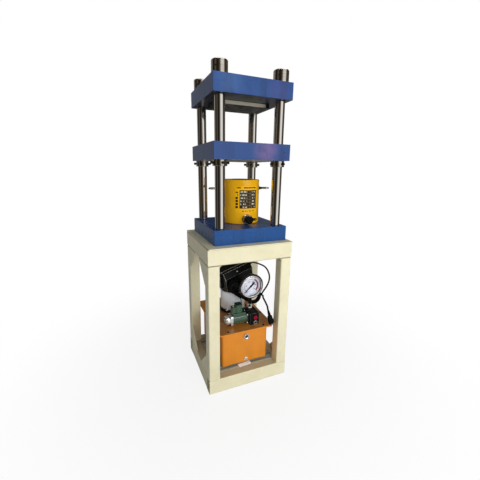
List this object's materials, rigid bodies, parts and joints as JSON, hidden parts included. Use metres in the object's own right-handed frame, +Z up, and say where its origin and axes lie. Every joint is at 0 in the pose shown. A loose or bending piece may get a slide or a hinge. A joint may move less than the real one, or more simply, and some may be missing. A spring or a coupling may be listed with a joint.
{
  "type": "hydraulic press",
  "caption": "Four column hydraulic press with a rising platen over a cylinder jack, on a welded stand that holds an electric oil pump, valve, gauge and control box.",
  "frame": {"origin": "on the floor, below the middle of the whole press", "axes": "+Z up, front along -Y, +X to the right as seen from the front"},
  "size_m": [0.4807, 0.4984, 1.64],
  "materials": {
    "cream_paint": "satin cream powder coat",
    "blue_paint": "glossy blue enamel",
    "polished_steel": "ground and polished steel",
    "black_oxide": "black oxide finish",
    "raw_steel": "mottled raw steel plate",
    "yellow_paint": "glossy yellow enamel",
    "orange_paint": "satin orange enamel",
    "cast_aluminium": "bare cast aluminium and bright sheet",
    "green_moulding": "green moulded coil",
    "black_plastic": "black moulding",
    "black_rubber": "black rubber",
    "red_plastic": "red plastic plug",
    "white_enamel": "white enamel",
    "clear_glass": "clear glass"
  },
  "bodies": {
    "root": {"base_plate": "blue_paint", "cable_gland": "black_plastic", "column_back_left": "polished_steel", "column_back_right": "polished_steel", "column_front_left": "polished_steel", "column_front_right": "polished_steel", "column_nut_back_left": "polished_steel", "column_nut_back_right": "polished_steel", "column_nut_front_left": "polished_steel", "column_nut_front_right": "polished_steel", "control_box_base": "black_plastic", "control_box_cover": "black_plastic", "cord_hank": "black_rubber", "cord_tail": "black_rubber", "drain_plug": "black_oxide", "dust_cap": "black_rubber", "gauge_bezel": "polished_steel", "gauge_case": "black_plastic", "gauge_dial": "white_enamel", "gauge_glass": "clear_glass", "gauge_seal": "white_enamel", "gauge_stem": "polished_steel", "jack_body": "yellow_paint", "jack_coupler": "polished_steel", "jack_stop_ring": "black_oxide", "lifting_eye_left": "yellow_paint", "lifting_eye_right": "yellow_paint", "manifold_block": "black_plastic", "motor_body": "cast_aluminium", "motor_end_bell": "black_plastic", "motor_flange": "black_plastic", "plug_body": "black_plastic", "port_fitting": "polished_steel", "power_cord": "black_rubber", "red_port_plug": "red_plastic", "sight_glass": "polished_steel", "solenoid_coil": "green_moulding", "solenoid_end_plate": "cast_aluminium", "solenoid_flange": "black_plastic", "solenoid_lead": "black_rubber", "stand_bottom_frame": "cream_paint", "stand_leg_back_left": "cream_paint", "stand_leg_back_right": "cream_paint", "stand_leg_front_left": "cream_paint", "stand_leg_front_right": "cream_paint", "stand_shelf": "cream_paint", "stand_top_plate": "cream_paint", "stand_upper_frame": "cream_paint", "tank_body": "orange_paint", "tank_lid": "orange_paint", "terminal_box": "green_moulding", "tooling_plate": "raw_steel", "tooling_rail_left": "black_oxide", "tooling_rail_right": "black_oxide", "top_plate": "blue_paint"},
    "platen": {"moving_platen": "blue_paint"},
    "ram": {"jack_ram": "polished_steel", "jack_saddle": "black_oxide"},
    "pointer": {"gauge_pointer": "black_plastic"}
  },
  "joints": [
    {"name": "platen_slide", "type": "slide", "parent": "root", "child": "platen", "axis": [0, 0, 1], "range_m": [0, 0.056]},
    {"name": "ram_slide", "type": "slide", "parent": "root", "child": "ram", "axis": [0, 0, 1], "range_m": [0, 0.15]},
    {"name": "gauge_pointer_turn", "type": "hinge", "parent": "root", "child": "pointer", "pos_m": [0.0675, -0.08275, 0.5267], "axis": [0, 1, 0], "range_deg": [0, 270], "stiffness_Nm_per_rad": 0.003}
  ],
  "couplings": [
    {"joint": "ram_slide", "follows": "platen_slide", "ratio": 2.678}
  ]
}
